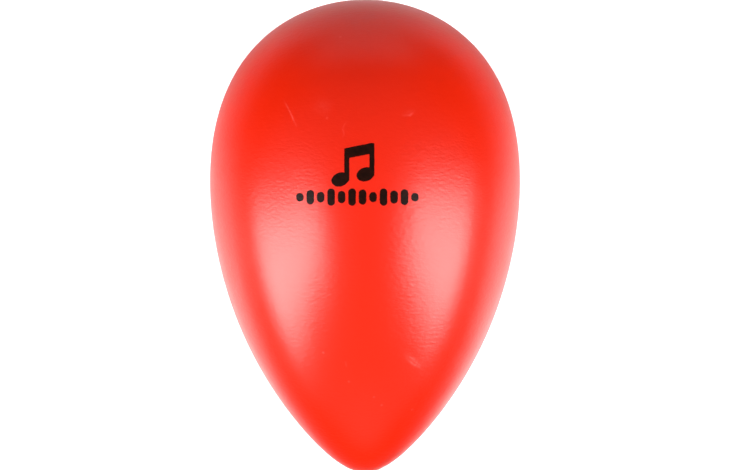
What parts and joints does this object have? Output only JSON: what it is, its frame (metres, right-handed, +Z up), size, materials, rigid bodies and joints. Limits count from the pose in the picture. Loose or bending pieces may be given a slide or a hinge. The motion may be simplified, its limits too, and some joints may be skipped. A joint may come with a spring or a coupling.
{
  "type": "egg shaker",
  "caption": "Hand-held egg shaker: a hollow egg with one pointed end, moulded as two half shells, with loose steel shot inside that strikes the walls when it is shaken.",
  "frame": {"origin": "the point on the surface that it lies on, under the middle of the egg's length and breadth", "axes": "+Z up, square to the seam plane, with the printed shell on top; +Y along the egg's long axis, towards the blunt end; the seam plane is level at the height of that axis"},
  "size_m": [0.0458, 0.07, 0.0459],
  "materials": {
    "shell": "satin moulded plastic with a fine grain",
    "shot": "tumbled steel",
    "print": "pad-printed black ink"
  },
  "bodies": {
    "shell": {"lower_shell": "shell", "upper_shell": "shell"},
    "shot_01": {"shot_01": "shot"},
    "shot_02": {"shot_02": "shot"},
    "shot_03": {"shot_03": "shot"},
    "shot_04": {"shot_04": "shot"},
    "shot_05": {"shot_05": "shot"},
    "shot_06": {"shot_06": "shot"},
    "shot_07": {"shot_07": "shot"},
    "shot_08": {"shot_08": "shot"},
    "shot_09": {"shot_09": "shot"},
    "shot_10": {"shot_10": "shot"},
    "shot_11": {"shot_11": "shot"},
    "shot_12": {"shot_12": "shot"},
    "shot_13": {"shot_13": "shot"},
    "shot_14": {"shot_14": "shot"},
    "shot_15": {"shot_15": "shot"},
    "shot_16": {"shot_16": "shot"},
    "shot_17": {"shot_17": "shot"},
    "shot_18": {"shot_18": "shot"},
    "shot_19": {"shot_19": "shot"},
    "shot_20": {"shot_20": "shot"},
    "shot_21": {"shot_21": "shot"},
    "shot_22": {"shot_22": "shot"},
    "shot_23": {"shot_23": "shot"},
    "shot_24": {"shot_24": "shot"},
    "shot_25": {"shot_25": "shot"},
    "shot_26": {"shot_26": "shot"},
    "shot_27": {"shot_27": "shot"},
    "shot_28": {"shot_28": "shot"},
    "shot_29": {"shot_29": "shot"},
    "shot_30": {"shot_30": "shot"},
    "shot_31": {"shot_31": "shot"},
    "shot_32": {"shot_32": "shot"},
    "shot_33": {"shot_33": "shot"},
    "shot_34": {"shot_34": "shot"},
    "shot_35": {"shot_35": "shot"},
    "shot_36": {"shot_36": "shot"},
    "shot_37": {"shot_37": "shot"},
    "shot_38": {"shot_38": "shot"},
    "shot_39": {"shot_39": "shot"},
    "shot_40": {"shot_40": "shot"},
    "shot_41": {"shot_41": "shot"}
  },
  "joints": [
    {"name": "shot_01_throw", "type": "slide", "parent": "shell", "child": "shot_01", "axis": [0, 0, 1], "range_m": [0, 0.03191]},
    {"name": "shot_02_throw", "type": "slide", "parent": "shell", "child": "shot_02", "axis": [0, 0, 1], "range_m": [0, 0.03302]},
    {"name": "shot_03_throw", "type": "slide", "parent": "shell", "child": "shot_03", "axis": [0, 0, 1], "range_m": [0, 0.03191]},
    {"name": "shot_04_throw", "type": "slide", "parent": "shell", "child": "shot_04", "axis": [0, 0, 1], "range_m": [0, 0.03254]},
    {"name": "shot_05_throw", "type": "slide", "parent": "shell", "child": "shot_05", "axis": [0, 0, 1], "range_m": [0, 0.03469]},
    {"name": "shot_06_throw", "type": "slide", "parent": "shell", "child": "shot_06", "axis": [0, 0, 1], "range_m": [0, 0.03469]},
    {"name": "shot_07_throw", "type": "slide", "parent": "shell", "child": "shot_07", "axis": [0, 0, 1], "range_m": [0, 0.03254]},
    {"name": "shot_08_throw", "type": "slide", "parent": "shell", "child": "shot_08", "axis": [0, 0, 1], "range_m": [0, 0.03211]},
    {"name": "shot_09_throw", "type": "slide", "parent": "shell", "child": "shot_09", "axis": [0, 0, 1], "range_m": [0, 0.03533]},
    {"name": "shot_10_throw", "type": "slide", "parent": "shell", "child": "shot_10", "axis": [0, 0, 1], "range_m": [0, 0.03634]},
    {"name": "shot_11_throw", "type": "slide", "parent": "shell", "child": "shot_11", "axis": [0, 0, 1], "range_m": [0, 0.03533]},
    {"name": "shot_12_throw", "type": "slide", "parent": "shell", "child": "shot_12", "axis": [0, 0, 1], "range_m": [0, 0.03211]},
    {"name": "shot_13_throw", "type": "slide", "parent": "shell", "child": "shot_13", "axis": [0, 0, 1], "range_m": [0, 0.03053]},
    {"name": "shot_14_throw", "type": "slide", "parent": "shell", "child": "shot_14", "axis": [0, 0, 1], "range_m": [0, 0.03494]},
    {"name": "shot_15_throw", "type": "slide", "parent": "shell", "child": "shot_15", "axis": [0, 0, 1], "range_m": [0, 0.03696]},
    {"name": "shot_16_throw", "type": "slide", "parent": "shell", "child": "shot_16", "axis": [0, 0, 1], "range_m": [0, 0.03696]},
    {"name": "shot_17_throw", "type": "slide", "parent": "shell", "child": "shot_17", "axis": [0, 0, 1], "range_m": [0, 0.03494]},
    {"name": "shot_18_throw", "type": "slide", "parent": "shell", "child": "shot_18", "axis": [0, 0, 1], "range_m": [0, 0.03053]},
    {"name": "shot_19_throw", "type": "slide", "parent": "shell", "child": "shot_19", "axis": [0, 0, 1], "range_m": [0, 0.03343]},
    {"name": "shot_20_throw", "type": "slide", "parent": "shell", "child": "shot_20", "axis": [0, 0, 1], "range_m": [0, 0.03652]},
    {"name": "shot_21_throw", "type": "slide", "parent": "shell", "child": "shot_21", "axis": [0, 0, 1], "range_m": [0, 0.0375]},
    {"name": "shot_22_throw", "type": "slide", "parent": "shell", "child": "shot_22", "axis": [0, 0, 1], "range_m": [0, 0.03652]},
    {"name": "shot_23_throw", "type": "slide", "parent": "shell", "child": "shot_23", "axis": [0, 0, 1], "range_m": [0, 0.03343]},
    {"name": "shot_24_throw", "type": "slide", "parent": "shell", "child": "shot_24", "axis": [0, 0, 1], "range_m": [0, 0.03049]},
    {"name": "shot_25_throw", "type": "slide", "parent": "shell", "child": "shot_25", "axis": [0, 0, 1], "range_m": [0, 0.03491]},
    {"name": "shot_26_throw", "type": "slide", "parent": "shell", "child": "shot_26", "axis": [0, 0, 1], "range_m": [0, 0.03692]},
    {"name": "shot_27_throw", "type": "slide", "parent": "shell", "child": "shot_27", "axis": [0, 0, 1], "range_m": [0, 0.03692]},
    {"name": "shot_28_throw", "type": "slide", "parent": "shell", "child": "shot_28", "axis": [0, 0, 1], "range_m": [0, 0.03491]},
    {"name": "shot_29_throw", "type": "slide", "parent": "shell", "child": "shot_29", "axis": [0, 0, 1], "range_m": [0, 0.03049]},
    {"name": "shot_30_throw", "type": "slide", "parent": "shell", "child": "shot_30", "axis": [0, 0, 1], "range_m": [0, 0.03177]},
    {"name": "shot_31_throw", "type": "slide", "parent": "shell", "child": "shot_31", "axis": [0, 0, 1], "range_m": [0, 0.03502]},
    {"name": "shot_32_throw", "type": "slide", "parent": "shell", "child": "shot_32", "axis": [0, 0, 1], "range_m": [0, 0.03604]},
    {"name": "shot_33_throw", "type": "slide", "parent": "shell", "child": "shot_33", "axis": [0, 0, 1], "range_m": [0, 0.03502]},
    {"name": "shot_34_throw", "type": "slide", "parent": "shell", "child": "shot_34", "axis": [0, 0, 1], "range_m": [0, 0.03177]},
    {"name": "shot_35_throw", "type": "slide", "parent": "shell", "child": "shot_35", "axis": [0, 0, 1], "range_m": [0, 0.03136]},
    {"name": "shot_36_throw", "type": "slide", "parent": "shell", "child": "shot_36", "axis": [0, 0, 1], "range_m": [0, 0.03359]},
    {"name": "shot_37_throw", "type": "slide", "parent": "shell", "child": "shot_37", "axis": [0, 0, 1], "range_m": [0, 0.03359]},
    {"name": "shot_38_throw", "type": "slide", "parent": "shell", "child": "shot_38", "axis": [0, 0, 1], "range_m": [0, 0.03136]},
    {"name": "shot_39_throw", "type": "slide", "parent": "shell", "child": "shot_39", "axis": [0, 0, 1], "range_m": [0, 0.02888]},
    {"name": "shot_40_throw", "type": "slide", "parent": "shell", "child": "shot_40", "axis": [0, 0, 1], "range_m": [0, 0.03011]},
    {"name": "shot_41_throw", "type": "slide", "parent": "shell", "child": "shot_41", "axis": [0, 0, 1], "range_m": [0, 0.02888]}
  ]
}
